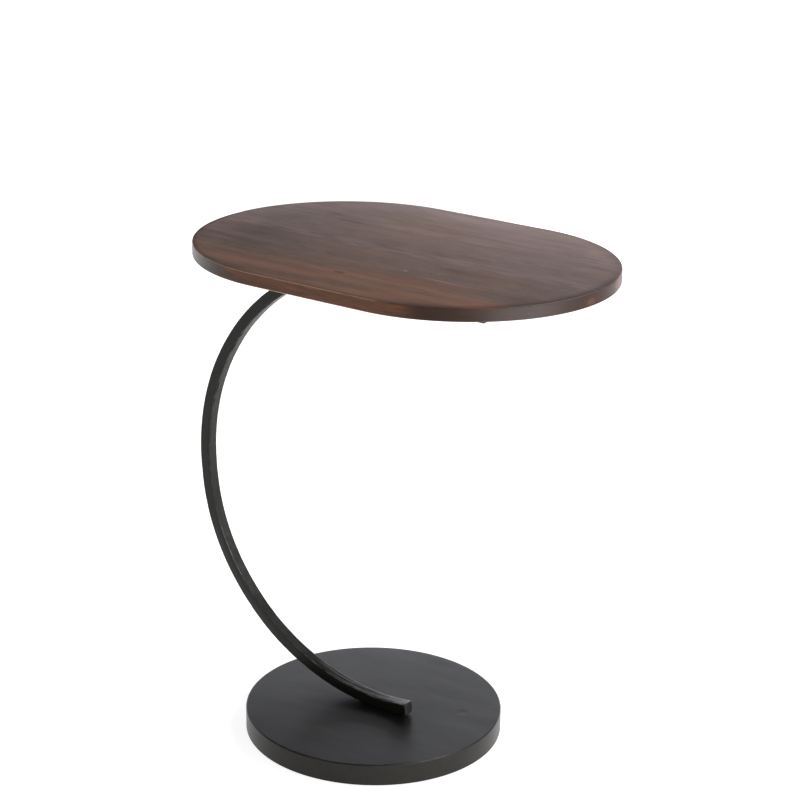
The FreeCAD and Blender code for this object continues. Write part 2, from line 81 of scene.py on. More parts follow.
class Net:
    def __init__(self, tree):
        self.tree = tree

    def node(self, kind, settings=None, inputs=None, output=0):
        made = self.tree.nodes.new(kind)
        for name, value in (settings or {}).items():
            setattr(made, name, value)
        for key, value in (inputs or {}).items():
            if isinstance(value, Wire):
                self.tree.links.new(value.socket, made.inputs[key])
            else:
                made.inputs[key].default_value = value
        return Wire(self, made.outputs[output] if made.outputs else None)

    def maths(self, operation, *values):
        return self.node("ShaderNodeMath", {"operation": operation}, dict(enumerate(values)))

    def vector(self, operation, *values, output=0):
        values = dict(enumerate(values))
        return self.node("ShaderNodeVectorMath", {"operation": operation}, values, output)

    def joined(self, x, y, z):
        return self.node("ShaderNodeCombineXYZ", {}, {0: x, 1: y, 2: z})

    def part(self, vector, axis):
        return self.node("ShaderNodeSeparateXYZ", {}, {0: vector}, output="XYZ".index(axis))

    def attribute(self, name, output="Fac"):
        return self.node("ShaderNodeAttribute", {"attribute_name": name}, output=output)

    def smooth(self, value, low, high, start=0.0, end=1.0):
        # an eased step from start to end while value goes from low to high
        return self.node("ShaderNodeMapRange", {"interpolation_type": "SMOOTHSTEP"},
                         {0: value, 1: low, 2: high, 3: start, 4: end})

    def fading(self, value, low, high):
        return self.smooth(value, low, high, 1.0, 0.0)

    def grain(self, place, sizes, detail, roughness, span=None, shift=(0, 0, 0)):
        # noise whose features measure sizes along X, Y and Z, stepped from 0 to 1 over its span
        sizes = sizes if isinstance(sizes, tuple) else (sizes,) * 3
        stretched = self.vector("MULTIPLY", place, tuple(1 / size for size in sizes))
        made = self.node("ShaderNodeTexNoise", {},
                         {"Vector": self.vector("ADD", stretched, shift), "Scale": 1.0,
                          "Detail": detail, "Roughness": roughness})
        return self.smooth(made, *span) if span else made

    def blend(self, factor, first, second, mode="MIX"):
        settings = {"data_type": "RGBA", "blend_type": mode, "clamp_factor": True}
        first, second = [value if isinstance(value, Wire) else (*value, 1.0)
                         for value in (first, second)]
        return self.node("ShaderNodeMix", settings, {0: factor, 6: first, 7: second}, output=2)

    def tinted(self, factor, colour, tint):
        return self.blend(factor, colour, tint, "MULTIPLY")

    def bump(self, height, depth, under=None):
        inputs = {"Height": height, "Distance": depth, "Strength": 1.0}
        if under is not None:
            inputs["Normal"] = under
        return self.node("ShaderNodeBump", {}, inputs)


def newMaterial(name, netKind=Net):
    material = bpy.data.materials.new(name)
    material.use_nodes = True
    material.node_tree.nodes.clear()
    return material, netKind(material.node_tree)


def finishMaterial(net, sockets):
    shader = net.node("ShaderNodeBsdfPrincipled", {}, sockets)
    net.node("ShaderNodeOutputMaterial", {}, {"Surface": shader})


# Mesh helpers

def newPiece(name, mesh, materials):
    piece = bpy.data.objects.new(name, mesh)
    bpy.context.scene.collection.objects.link(piece)
    for material in materials:
        mesh.materials.append(material)
    return piece


def opened(mesh):
    shape = bmesh.new()
    shape.from_mesh(mesh)
    return shape


def saved(shape, mesh):
    for face in shape.faces:
        face.smooth = True
    shape.to_mesh(mesh)
    shape.free()


def mendMesh(mesh):
    # merges doubles, drops loose edges and turns every face outwards
    shape = opened(mesh)
    bmesh.ops.remove_doubles(shape, verts=shape.verts, dist=1e-6)
    loose = [edge for edge in shape.edges if not edge.link_faces]
    bmesh.ops.delete(shape, geom=loose, context="EDGES")
    bmesh.ops.recalc_face_normals(shape, faces=shape.faces)
    saved(shape, mesh)


def loft(name, rings, materials, edgeness=None, closed=False):
    # skins rings of equal length; open lofts are capped, closed ones join last to first
    count = len(rings[0])
    vertices = [point for ring in rings for point in ring]
    faces = []
    for level in range(len(rings) if closed else len(rings) - 1):
        low = level * count
        high = (level + 1) % len(rings) * count
        for k in range(count):
            following = (k + 1) % count
            faces.append((low + k, low + following, high + following, high + k))
    if not closed:
        faces.append(tuple(range(count)))
        faces.append(tuple(range(len(vertices) - count, len(vertices))))
    mesh = bpy.data.meshes.new(name)
    mesh.from_pydata(vertices, [], faces)
    layer = mesh.attributes.new("edge", "FLOAT", "POINT")
    edgeness = edgeness or [0.0] * len(rings)
    layer.data.foreach_set("value", [value for value in edgeness for k in range(count)])
    mendMesh(mesh)
    return newPiece(name, mesh, materials)


def rounded(centre, radius, start, end, steps):
    # points of a rounded corner in a profile, angles in degrees
    turns = [radians(start + (end - start) * step / steps) for step in range(steps + 1)]
    return [(centre[0] + radius * cos(turn), centre[1] + radius * sin(turn)) for turn in turns]


def frozen(piece):
    # the modifiers' result as a plain mesh on the same object
    graph = bpy.context.evaluated_depsgraph_get()
    mesh = bpy.data.meshes.new_from_object(piece.evaluated_get(graph),
                                           preserve_all_data_layers=True, depsgraph=graph)
    piece.modifiers.clear()
    old = piece.data
    piece.data = mesh
    bpy.data.meshes.remove(old)
    mesh.name = piece.name
    return piece


def flatNormals(piece, sharpAngle=40):
    # broad faces keep their own normal, so only the rounded edges shade as round
    shape = opened(piece.data)
    for edge in shape.edges:
        edge.smooth = edge.calc_face_angle(0.0) < radians(sharpAngle)
    saved(shape, piece.data)
    weighted = piece.modifiers.new("flat faces", "WEIGHTED_NORMAL")
    weighted.weight = 100
    weighted.keep_sharp = True
    return frozen(piece)


def settle(piece, nodes):
    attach(piece, "root")
    if nodes:
        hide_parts(*nodes)


def pieceName(node):
    words = node.split("_")
    return words[0] + "".join(word.capitalize() for word in words[1:]) + "Piece"


# Camera

view = {
    "azimuth": 35.247,
    "elevation": 19.276,
    "roll": 0.938,
    "place": (1.38333, -1.91189, 1.24852),
    "lens": 96.188,
    "sensor": 36.0,
    "nearest": 0.05,
    "furthest": 100,
}


def makeCamera():
    data = bpy.data.cameras.new("camera")
    data.lens = view["lens"]
    data.sensor_width = view["sensor"]
    data.clip_start = view["nearest"]
    data.clip_end = view["furthest"]
    turned = Matrix.Translation(view["place"])
    for angle, axis in ((view["azimuth"], "Z"), (90 - view["elevation"], "X"), (view["roll"], "Z")):
        turned = turned @ Matrix.Rotation(radians(angle), 4, axis)
    camera = bpy.data.objects.new("camera", data)
    camera.matrix_world = turned
    bpy.context.scene.collection.objects.link(camera)
    bpy.context.scene.camera = camera


makeCamera()
print("camera set")


# Studio: a bright pale floor, a dim surround and soft boxes round the table

# four numbers for a glow: the stretch over which it changes, then its values at both ends
studio = {
    "floorSize": 60.0,
    "floorDrop": 0.2 * mm,
    "floorColours": ((0.40, 0.40, 0.40), (0.38, 0.38, 0.38)),
    "floorCloud": (0.6, 3.0, 0.5),
    "floorRoughness": 0.9,
    "floorGlow": (0.17, 0.42, 0.88, 1.10),
    "behind": (-0.55, 0.77, 0.33),
    "surroundGlow": (-0.4, 0.9, 0.0, 0.02),
    "backdrop": 1.3,
}
bluish = (0.96, 0.97, 1.05)
# each box: its compass side in degrees from +X, distance, height, the level on the middle axis
# that it faces, its width and height, the radiance of its face, and the tint
softBoxes = {
    "boxRight": (-8, 1.5, 0.5, 0.32, 1.3, 1.0, 4.95, white),
    "boxRightLow": (-15, 1.3, 0.2, 0.2, 1.2, 0.4, 3.25, white),
    "boxTop": (45, 0.9, 1.9, 0.32, 0.85, 0.85, 13.3, white),
    "boxTopFront": (-135, 0.98, 2.1, 0.6, 0.6, 0.6, 2.25, white),
    "boxLeft": (180, 1.6, 0.5, 0.32, 1.3, 1.0, 0.9, white),
    "stripFar": (120, 2.5, 0.35, 0.35, 4.0, 0.7, 3.6, bluish),
    "stripLow": (112, 0.8, 0.17, 0.17, 1.6, 0.3, 0.95, bluish),
    "stripHigh": (120, 1.6, 0.765, 0.765, 2.6, 0.31, 0.33, white),
    "stripNear": (120, 0.8, 0.62, 0.62, 1.3, 0.3, 0.2, white),
}


def makeFloor():
    half = studio["floorSize"] / 2
    low = -studio["floorDrop"]
    corners = [(-half, -half, low), (half, -half, low), (half, half, low), (-half, half, low)]
    mesh = bpy.data.meshes.new("studioFloor")
    mesh.from_pydata(corners, [], [(0, 1, 2, 3)])
    material, net = newMaterial("paperFloor")
    place = net.node("ShaderNodeTexCoord", output="Object")
    tint = net.blend(net.grain(place, *studio["floorCloud"]), *studio["floorColours"])
    away = net.vector("LENGTH", place, output="Value")
    glow = net.smooth(away, *studio["floorGlow"])
    finishMaterial(net, {"Base Color": tint, "Roughness": studio["floorRoughness"],
                         "Specular IOR Level": 0.0, "Emission Strength": 1.0,
                         "Emission Color": net.joined(glow, glow, glow)})
    material.cycles.emission_sampling = "NONE"
    newPiece("studioFloor", mesh, [material])


def makeSurround():
    world = bpy.data.worlds.new("studio")
    world.use_nodes = True
    world.node_tree.nodes.clear()
    net = Net(world.node_tree)
    way = net.node("ShaderNodeTexCoord", output="Generated")
    behind = net.vector("DOT_PRODUCT", way, studio["behind"], output="Value")
    glow = net.smooth(behind, *studio["surroundGlow"])
    seen = net.node("ShaderNodeLightPath", output="Is Camera Ray")
    strength = glow + (studio["backdrop"] - glow) * seen
    light = net.node("ShaderNodeBackground", {}, {"Color": (*white, 1), "Strength": strength})
    net.node("ShaderNodeOutputWorld", {}, {"Surface": light})
    bpy.context.scene.world = world


def makeSoftBox(name, azimuth, distance, height, aim, wide, high, glow, tint):
    data = bpy.data.lights.new(name, "AREA")
    data.shape = "RECTANGLE"
    data.size = wide
    data.size_y = high
    data.energy = glow * pi * wide * high
    data.color = tint
    side = radians(azimuth)
    lamp = bpy.data.objects.new(name, data)
    lamp.location = Vector((cos(side) * distance, sin(side) * distance, height))
    way = Vector((0, 0, aim)) - lamp.location
    lamp.rotation_euler = way.to_track_quat("-Z", "Y").to_euler()
    lamp.visible_camera = False
    bpy.context.scene.collection.objects.link(lamp)


makeFloor()
makeSurround()
for boxName, box in softBoxes.items():
    makeSoftBox(boxName, *box)
bpy.context.scene.view_settings.view_transform = "Standard"
print("studio lit by", len(softBoxes), "soft boxes")


# Wood: growth rings about a pith that runs along X, so faces, sides and ends all match

# each layer of the grain: the sizes of its features along X, Y and Z, the noise's detail and
# roughness, and the span of the noise that counts
grains = {
    "wander": ((0.15, 0.045, 0.045), 3.0, 0.5),
    "ripple": ((0.045, 0.012, 0.012), 2.0, 0.5),
    "fibre": ((0.030, 0.0007, 0.0007), 3.0, 0.6),
    "cloud": ((0.11, 0.035, 0.035), 3.0, 0.55),
    "patch": ((0.036, 0.010, 0.010), 3.0, 0.55, (0.32, 0.68)),
    "streak": ((0.045, 0.0016, 0.0016), 2.0, 0.5, (0.54, 0.78)),
    "vein": ((0.080, 0.0024, 0.0024), 3.0, 0.6, (0.56, 0.74)),
    "pore": ((0.0075, 0.00042, 0.00042), 1.0, 0.5, (0.66, 0.74)),
    "blush": ((0.16, 0.018, 0.018), 3.0, 0.55, (0.42, 0.66)),
    "rubAndHighlight": ((0.045, 0.0016, 0.0016), 3.0, 0.6, (0.24, 0.46)),
    "sideLine": ((0.030, 0.030, 0.0024), 3.0, 0.6),
}
# shares are how strong an effect is at most, spans where it starts and is full
wood = {
    "wanderReach": 8 * mm,
    "rippleReach": 2.2 * mm,
    "bendStep": 40.0,
    "ringWidth": 3.0 * mm,
    "ringNoise": {"Scale": 1.0, "Detail": 4.0, "Roughness": 0.58},
    "ringSpan": (0.30, 0.70),
    "poreRing": (0.35, 0.62),
    "tone": {"ring": 0.22, "cloud": 0.34, "patch": 0.20, "fibre": 0.32},
    "toneDrop": 0.02,
    "fadeSpan": (-0.16, 0.04, -0.5, 0.5),
    "streakColour": (0.21, 0.14, 0.11),
    "streakShare": 0.20,
    "veinShare": 0.26,
    "poreColour": (0.020, 0.011, 0.009),
    "poreShare": 0.60,
    "shareSpan": (-0.06, 0.10),
    "shareWidth": 20 * mm,
    "shareRagged": 26 * mm,
    "seamWidth": (0.4 * mm, 1.3 * mm),
    "seamRise": 0.06,
    "upSpan": (0.90, 0.98),
    "uprightSpan": (0.3, 0.9),
    "ovalDepth": 0.1,
    "ovalSpan": (0.15, 1.0),
    "ovalRagged": 0.9,
    "markSpan": (0.5, 1.0),
    "markRagged": 1.6,
    "topTint": (0.945, 0.945, 0.94),
    "sheenWay": (-0.86, 0.50, 0),
    "sideTint": (0.635, 0.495, 0.37),
    "sideLines": (((0.52, 0.72), (1.45, 1.20, 1.12)), ((0.30, 0.48, 1, 0), (0.70, 0.74, 0.78))),
    "endColour": (0.020, 0.008, 0.004),
    "endShare": 0.93,
    "endSpan": (0.0, 0.15),
    "rubAndHighlightColour": (0.52, 0.34, 0.25),
    "rubAndHighlightShare": 0.72,
    "rubAndHighlightEnd": (0.10, 0.15),
    "rubAndHighlightStep": 9.0,
    "poreDepth": 0.06 * mm,
    "fibreDepth": 0.02 * mm,
    "roughness": 0.42,
    "roughnessSwing": 0.12,
    "poreRoughness": 0.25,
    "shine": {"IOR": 1.5, "Specular IOR Level": 0.22},
}
# soft ovals across the boards that tint, darken or lighten them, with middle, reach and colour
# factors: the warm and cool ones are uneven stain, and the pale bluish ones on the back rim, the
# front edge and the left end are painted sheen
stainsAndSheen = {
    "warmSeam": ((0.090, -0.097), (0.150, 0.026), (1.10, 0.93, 0.84)),
    "coolLeft": ((-0.110, -0.066), (0.110, 0.042), (0.94, 1.01, 1.06)),
    "rightEnd": ((0.285, -0.040), (0.090, 0.150), (0.86, 0.89, 0.92)),
    "backRim": ((0.030, 0.182), (0.260, 0.044), (1.22, 1.24, 1.26)),
    "backHollow": ((0.030, 0.088), (0.300, 0.030), (0.93, 0.91, 0.90)),
    "seamShade": ((0.135, -0.036), (0.075, 0.020), (0.84, 0.82, 0.81)),
    "frontGleam": ((0.120, -0.119), (0.100, 0.012), (1.16, 1.14, 1.12)),
    "frontRight": ((0.190, -0.160), (0.090, 0.034), (0.80, 0.80, 0.82)),
    "frontEnd": ((0.240, -0.085), (0.045, 0.060), (0.84, 0.84, 0.86)),
    "midShade": ((0.050, 0.016), (0.210, 0.036), (0.92, 0.90, 0.89)),
    "warmBack": ((-0.010, 0.085), (0.150, 0.110), (1.02, 0.98, 0.93)),
    "leftEnd": ((-0.215, 0.010), (0.055, 0.110), (1.12, 1.10, 1.12)),
    "leftFront": ((-0.200, -0.045), (0.045, 0.040), (1.10, 1.13, 1.18)),
    "backRight": ((0.215, 0.095), (0.095, 0.052), (0.88, 0.89, 0.91)),
    "backLeft": ((-0.062, 0.116), (0.085, 0.022), (0.88, 0.89, 0.88)),
}
# small marks, with middle, reach, colour and share: in the upper face and on the bare end
topMarks = {
    "nick": ((0.086, -0.069, 0.610), (0.0035, 0.0019, 0.01), (0.36, 0.27, 0.23), 0.65),
    "knot": ((0.032, -0.118, 0.610), (0.009, 0.0040, 0.01), (0.028, 0.014, 0.010), 0.6),
    "checks": ((0.142, -0.079, 0.610), (0.045, 0.0018, 0.01), (0.30, 0.22, 0.18), 0.5),
    "checksLeft": ((-0.085, 0.066, 0.610), (0.030, 0.0022, 0.01), (0.030, 0.017, 0.013), 0.5),
}
endMarks = {
    "spotLow": ((0.290, -0.016, 0.601), (0.010, 0.009, 0.005), (0.085, 0.030, 0.018), 0.6),
    "spotFar": ((0.283, 0.055, 0.602), (0.012, 0.018, 0.008), (0.120, 0.042, 0.025), 0.7),
}
# zones of the top, each a tint and the steps that bound it: a darker rim, most of all on the
# open side, a painted sheen that pales the left end and back inside it, and a dark line beside the
# paler edge
zones = {
    "rim": ((0.36, 0.34, 0.34),
            {"inside": (0.0, 15 * mm, 1, 0), "rise": (0.25, 0.60),
             "x": (0.08, 0.15, 0.15, 0.85), "y": (0.0, 0.10, 1, 0.3)}),
    "pale": ((1.13, 1.17, 1.19),
             {"inside": (12 * mm, 70 * mm, 1, 0), "rise": (0.90, 0.98), "side": (-0.05, 0.10)}),
    "lip": ((0.62, 0.60, 0.58),
            {"inside": (2 * mm, 7 * mm, 1, 0), "rise": (0.90, 0.98),
             "x": (0.08, 0.15, 1, 0), "y": (-0.02, 0.02, 1, 0)}),
}
# fade is how much darker a board is at its left end, seam the glue line on its far side
boards = {
    "stave_front": {
        "slot": "wood_red", "seed": 3.1, "pith": (-0.168, 0.520), "fade": 0.10,
        "dark": (0.067, 0.034, 0.022), "light": (0.192, 0.116, 0.088),
        "blush": (0.242, 0.113, 0.075), "blushShare": 0.50,
        "seam": (0.260, 0.170, 0.130), "seamShare": 0.30, "seamFrom": -0.020,
    },
    "stave_mid_front": {
        "slot": "wood_dark", "seed": 11.7, "pith": (-0.050, 0.700), "fade": 0.27,
        "dark": (0.055, 0.038, 0.034), "light": (0.162, 0.114, 0.099),
        "blush": (0.212, 0.110, 0.083), "blushShare": 0.28,
        "seam": (0.030, 0.017, 0.013), "seamShare": 0.30, "seamFrom": -0.150,
    },
    "stave_mid_back": {
        "slot": "wood_brown", "seed": 23.4, "pith": (0.040, 0.480), "fade": 0.12,
        "dark": (0.083, 0.059, 0.053), "light": (0.216, 0.160, 0.152),
        "blush": (0.235, 0.146, 0.130), "blushShare": 0.22,
        "seam": (0.030, 0.017, 0.013), "seamShare": 0.40, "seamFrom": 0.020,
    },
    "stave_back": {
        "slot": "wood_brown", "seed": 37.9, "pith": (0.150, 0.730), "fade": 0.18,
        "dark": (0.094, 0.070, 0.064), "light": (0.250, 0.188, 0.180),
        "blush": (0.268, 0.178, 0.160), "blushShare": 0.25,
        "seam": (0.030, 0.017, 0.013), "seamShare": 0.0, "seamFrom": 0.020,
    },
}
# how far two neighbours take each other's colour at their seam, from the left end to the right
sharing = {
    ("stave_front", "stave_mid_front"): (0.50, 0.25),
    ("stave_mid_front", "stave_mid_back"): (0.50, 0.45),
    ("stave_mid_back", "stave_back"): (0.50, 0.50),
}
# the outline of the top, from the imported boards
top = {
    "edgeRadius": 1.2 * mm,
    "edgeSteps": 6,
    "seamArris": 0.05 * mm,
    "arcSteps": 90,
}
lows, highs = zip(*[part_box(node) for node in boards])
left, right = min(low.x for low in lows), max(high.x for high in highs)
top["halfWidth"] = max(high.y for high in highs)
top["level"] = max(high.z for high in highs)
top["centreX"] = (left + right) / 2
top["straight"] = (right - left) / 2 - top["halfWidth"]


class WoodNet(Net):
    # one board's material while it is made: where a point lies, how it faces, and its grain
    def begin(self, board):
        self.seed = board["seed"]
        self.place = self.node("ShaderNodeTexCoord", output="Object")
        facing = self.node("ShaderNodeTexCoord", output="Normal")
        self.x, self.y, self.z = [self.part(self.place, axis) for axis in "XYZ"]
        self.side = self.vector("DOT_PRODUCT", self.place, wood["sheenWay"], output="Value")
        self.across = self.part(facing, "X")
        self.rise = self.part(facing, "Z")
        self.up = self.smooth(self.rise, *wood["upSpan"])
        upright = 1.0 - self.maths("ABSOLUTE", self.rise)
        self.upright = self.smooth(upright, *wood["uprightSpan"])
        # the bent rings' own radius gives every line of the grain
        pithY, pithZ = board["pith"]
        offY = self.y - pithY + self.bend(0.0)
        offZ = self.z - pithZ + self.bend(wood["bendStep"])
        turn = (offY * offY + offZ * offZ) ** 0.5 / wood["ringWidth"] + self.seed
        ring = self.node("ShaderNodeTexNoise", {"noise_dimensions": "1D"},
                         {"W": turn, **wood["ringNoise"]})
        self.ring = self.smooth(ring, *wood["ringSpan"])
        self.pore = self.grown("pore") * self.smooth(ring, *wood["poreRing"])
        self.fibre, self.cloud, self.patch = map(self.grown, ("fibre", "cloud", "patch"))
        # how far a point lies inside the top's outline
        run = self.maths("ABSOLUTE", self.x - top["centreX"]) - top["straight"]
        run = self.maths("MAXIMUM", run, 0.0)
        self.inside = top["halfWidth"] - (run * run + self.y * self.y) ** 0.5

    def grown(self, key, step=0.0):
        # one layer of the grain, different on every board
        shift = (self.seed + step, self.seed * 1.7 - step, self.seed * 0.6 + step)
        return self.grain(self.place, *grains[key], shift=shift)

    def bend(self, step):
        # how far the grain strays sideways: slow waves with short ripples on them
        slow = (self.grown("wander", step) - 0.5) * (2 * wood["wanderReach"])
        quick = (self.grown("ripple", step) - 0.5) * (2 * wood["rippleReach"])
        return slow + quick

    def within(self, middle, reach):
        # 0 in the middle of an oval and 1 at its border
        off = self.vector("DIVIDE", self.vector("SUBTRACT", self.place, middle), reach)
        return self.vector("LENGTH", off, output="Value")

    def marked(self, colour, marks, where):
        # small marks whose borders follow the fibre
        for middle, reach, tint, share in marks.values():
            away = self.within(middle, reach) + (self.fibre - 0.5) * wood["markRagged"]
            share = self.fading(away, *wood["markSpan"]) * where * share
            colour = self.blend(share, colour, tint)
        return colour


def boardColour(net, node, board):
    tone = sum(getattr(net, layer) * share for layer, share in wood["tone"].items())
    tone = tone + net.smooth(net.x, *wood["fadeSpan"]) * board["fade"] - wood["toneDrop"]
    colour = net.blend(tone, board["dark"], board["light"])
    # near a seam the stain runs over from the next board, with a ragged border
    for pair, shares in sharing.items():
        if node in pair:
            other = boards[pair[1 - pair.index(node)]]
            away = net.maths("ABSOLUTE", net.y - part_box(pair[0])[1].y)
            away = away + (net.cloud + net.patch - 1.0) * wood["shareRagged"]
            share = net.smooth(net.x, *wood["shareSpan"], *shares)
            share = share * net.fading(away, 0.0, wood["shareWidth"])
            colour = net.blend(share, colour, net.blend(tone, other["dark"], other["light"]))
    layers = [(net.grown("blush") * board["blushShare"], board["blush"]),
              (net.grown("streak") * wood["streakShare"], wood["streakColour"]),
              (net.grown("vein") * wood["veinShare"], board["dark"]),
              (net.pore * wood["poreShare"], wood["poreColour"])]
    for share, tint in layers:
        colour = net.blend(share, colour, tint)
    return colour


def topColour(net, board, seamY, colour):
    # the glue line shows on the upper face only
    start = board["seamFrom"]
    shown = net.smooth(net.x, start, start + wood["seamRise"]) * net.up * board["seamShare"]
    glue = net.fading(net.maths("ABSOLUTE", net.y - seamY), *wood["seamWidth"])
    colour = net.blend(glue * shown * (0.5 + net.fibre), colour, board["seam"])
    # tinted patches and painted sheen patches, whose borders follow the cloud of the grain
    ragged = (net.cloud - 0.5) * wood["ovalRagged"]
    for middle, reach, tint in stainsAndSheen.values():
        away = net.within((*middle, top["level"]), (*reach, wood["ovalDepth"]))
        colour = net.tinted(net.fading(away + ragged, *wood["ovalSpan"]), colour, tint)
    colour = net.tinted(net.up, colour, wood["topTint"])
    colour = net.marked(colour, topMarks, net.up)
    for tint, steps in zones.values():
        share = prod(net.smooth(getattr(net, field), *step) for field, step in steps.items())
        colour = net.tinted(share, colour, tint)
    return colour


def sideColour(net, colour):
    # sides and cut ends drink more stain, and the upper face is kept paler and greyer than the
    # sides partly as painted sheen; rounded edges are paler, partly rubbed wear and partly a
    # painted highlight
    lines = net.grown("sideLine")
    sideToned = net.tinted(1.0, colour, wood["sideTint"])
    for span, tint in wood["sideLines"]:
        sideToned = net.tinted(net.smooth(lines, *span), sideToned, tint)
    colour = net.blend(net.upright, colour, sideToned)
    ends = net.smooth(net.across * net.across, *wood["endSpan"]) * net.upright
    colour = net.blend(ends * wood["endShare"], colour, wood["endColour"])
    colour = net.marked(colour, endMarks, net.upright)
    # paler rounded edges, left of the open end: partly rubbed wear, partly a painted highlight
    # along the edge
    rubAndHighlight = net.attribute("edge") * net.grown("rubAndHighlight", wood["rubAndHighlightStep"])
    rubAndHighlight = rubAndHighlight * net.fading(net.x, *wood["rubAndHighlightEnd"])
    return net.blend(rubAndHighlight * wood["rubAndHighlightShare"], colour, wood["rubAndHighlightColour"])


def woodMaterial(name, node, board, seamY):
    material, net = newMaterial(name, WoodNet)
    net.begin(board)
    colour = boardColour(net, node, board)
    colour = topColour(net, board, seamY, colour)
    colour = sideColour(net, colour)
    rough = wood["roughness"] + (net.cloud - 0.5) * wood["roughnessSwing"]
    rough = rough + net.pore * wood["poreRoughness"]
    relief = net.bump(net.fibre, wood["fibreDepth"], net.bump(1.0 - net.pore, wood["poreDepth"]))
    finishMaterial(net, {**wood["shine"], "Base Color": colour, "Roughness": rough,
                         "Normal": relief})
    return material


def staveOutline(sides, seams, inset, arris, z):
    # one level of a stave: a slice of the stadium, between two seams or a seam and the rim
    radius = top["halfWidth"] - inset
    near = sides[0] + arris if seams[0] else -radius
    far = sides[1] - arris if seams[1] else radius
    first = asin(max(near / radius, -1))
    last = asin(min(far / radius, 1))
    turns = [first + (last - first) * k / top["arcSteps"] for k in range(top["arcSteps"] + 1)]
    straight = top["straight"]
    right = [(top["centreX"] + straight + radius * cos(turn), radius * sin(turn), z)
             for turn in turns]
    left = [(top["centreX"] - straight - radius * cos(turn), radius * sin(turn), z)
            for turn in reversed(turns)]
    return right + left


def makeStave(node, board):
    low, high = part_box(node)
    seams = [abs(abs(y) - top["halfWidth"]) > mm for y in (low.y, high.y)]
    rings = []
    edgeness = []
    quarter = [pi / 2 * step / top["edgeSteps"] for step in range(top["edgeSteps"] + 1)]
    for turn in quarter + quarter[::-1]:
        rise = top["edgeRadius"] * (1 - cos(turn))
        inset = top["edgeRadius"] * (1 - sin(turn))
        z = low.z + rise if len(rings) <= top["edgeSteps"] else high.z - rise
        arris = max(top["seamArris"] - rise, 0.0)
        rings.append(staveOutline((low.y, high.y), seams, inset, arris, z))
        edgeness.append(sin(2 * turn))
    name = pieceName(node)
    piece = loft(name, rings, [woodMaterial(name, node, board, high.y)], edgeness)
    settle(flatNormals(piece), [node])


for node, board in boards.items():
    makeStave(node, board)
print("wood top made")


# Black, metal and rubber finishes

# cloud and peel are noises: the size of their features, the detail and the roughness
coats = {
    "bar": {
        "dark": (0.0043, 0.0045, 0.0030), "light": (0.0098, 0.0101, 0.0066),
        "worn": (0.07, 0.07, 0.06), "wornShare": 0.35, "bare": (0.20, 0.20, 0.20),
        "roughness": 0.42, "swing": 0.16, "specular": 0.23,
        "cloud": (0.018, 4.0, 0.6), "peel": (0.0016, 2.0, 0.5), "peelDepth": 0.05 * mm,
    },
    # painted light: the rim is given a colour several times lighter than the top sheet of the same
    # coat
    "rim": {
        "dark": (0.010, 0.0088, 0.0070), "light": (0.018, 0.0158, 0.0130),
        "worn": (0.05, 0.05, 0.05), "wornShare": 0.20,
        "roughness": 0.34, "swing": 0.10, "specular": 0.21,
        "cloud": (0.040, 4.0, 0.6), "peel": (0.0011, 2.0, 0.5), "peelDepth": 0.02 * mm,
    },
    "sheet": {
        "dark": (0.0008, 0.0008, 0.0011), "light": (0.0032, 0.0032, 0.0042),
        "worn": (0.05, 0.05, 0.05), "wornShare": 0.25,
        "roughness": 0.29, "swing": 0.08, "specular": 0.43,
        "cloud": (0.050, 4.0, 0.6), "peel": (0.0011, 2.0, 0.5), "peelDepth": 0.006 * mm,
    },
}
metals = {
    "zinc": {
        "dark": (0.42, 0.43, 0.44), "light": (0.68, 0.69, 0.68), "metallic": 1.0,
        "roughness": 0.32, "swing": 0.2, "cloud": (0.004, 4.0, 0.6),
        "peel": (0.0004, 3.0, 0.6, None, (3, 8, 5)), "peelDepth": 0.01 * mm,
    },
    "iron": {
        "dark": (0.10, 0.10, 0.105), "light": (0.20, 0.20, 0.20), "metallic": 0.6,
        "roughness": 0.62, "swing": 0.2, "cloud": (0.012, 4.0, 0.6),
        "peel": (0.0012, 3.0, 0.6, None, (3, 8, 5)), "peelDepth": 0.15 * mm,
    },
    "rubber": {
        "dark": (0.018, 0.018, 0.018), "light": (0.032, 0.032, 0.031), "metallic": 0.0,
        "roughness": 0.85, "swing": 0.1, "cloud": (0.02, 4.0, 0.6),
        "peel": (0.0009, 3.0, 0.6, None, (3, 8, 5)), "peelDepth": 0.1 * mm,
    },
}
# dust specks and rubbed places on every black coat, and the lines drawn along the bar
wear = {
    "speck": (0.9 * mm, 0.0, 0.5, (0.74, 0.80), (5, 9, 2)),
    "speckShare": 0.25,
    "speckColour": (0.06, 0.06, 0.06),
    "speckRoughness": 0.1,
    "rub": (10 * mm, 4.0, 0.7, (0.46, 0.66), (8, 1, 4)),
    "bareLeast": 0.55,
    "drawn": ((0.060, 0.0011, 0.0011), 3.0, 0.6),
    "drawnDepth": 0.16 * mm,
    "drawnRoughness": 0.15,
    "refraction": 1.5,
}
# the sheet of the base isn't quite flat or evenly dull: long waves, a dent where something stood
# on it, and a duller right side
handling = {
    "wave": ((0.070, 0.040, 0.040), 2.0, 0.5, None, (2, 6, 1)),
    "waveDepth": 0.45 * mm,
    "dent": (0.101, 0.045, 0.028),
    "dentReach": (1 * mm, 10 * mm),
    "dentDepth": 0.16 * mm,
    "dullSide": (0.02, 0.14, 0.0, 0.055),
}


def plainFinish(name, coat):
    # what all these finishes share: a cloudy colour and roughness over a fine peel
    material, net = newMaterial(name)
    place = net.node("ShaderNodeTexCoord", output="Object")
    cloud = net.grain(place, *coat["cloud"])
    colour = net.blend(cloud, coat["dark"], coat["light"])
    rough = coat["roughness"] + (cloud - 0.5) * coat["swing"]
    relief = net.bump(net.grain(place, *coat["peel"]), coat["peelDepth"])
    return material, net, place, colour, rough, relief


def metalMaterial(name, coat):
    material, net, place, colour, rough, relief = plainFinish(name, coat)
    finishMaterial(net, {"Base Color": colour, "Roughness": rough, "Normal": relief,
                         "Metallic": coat["metallic"]})
    return material


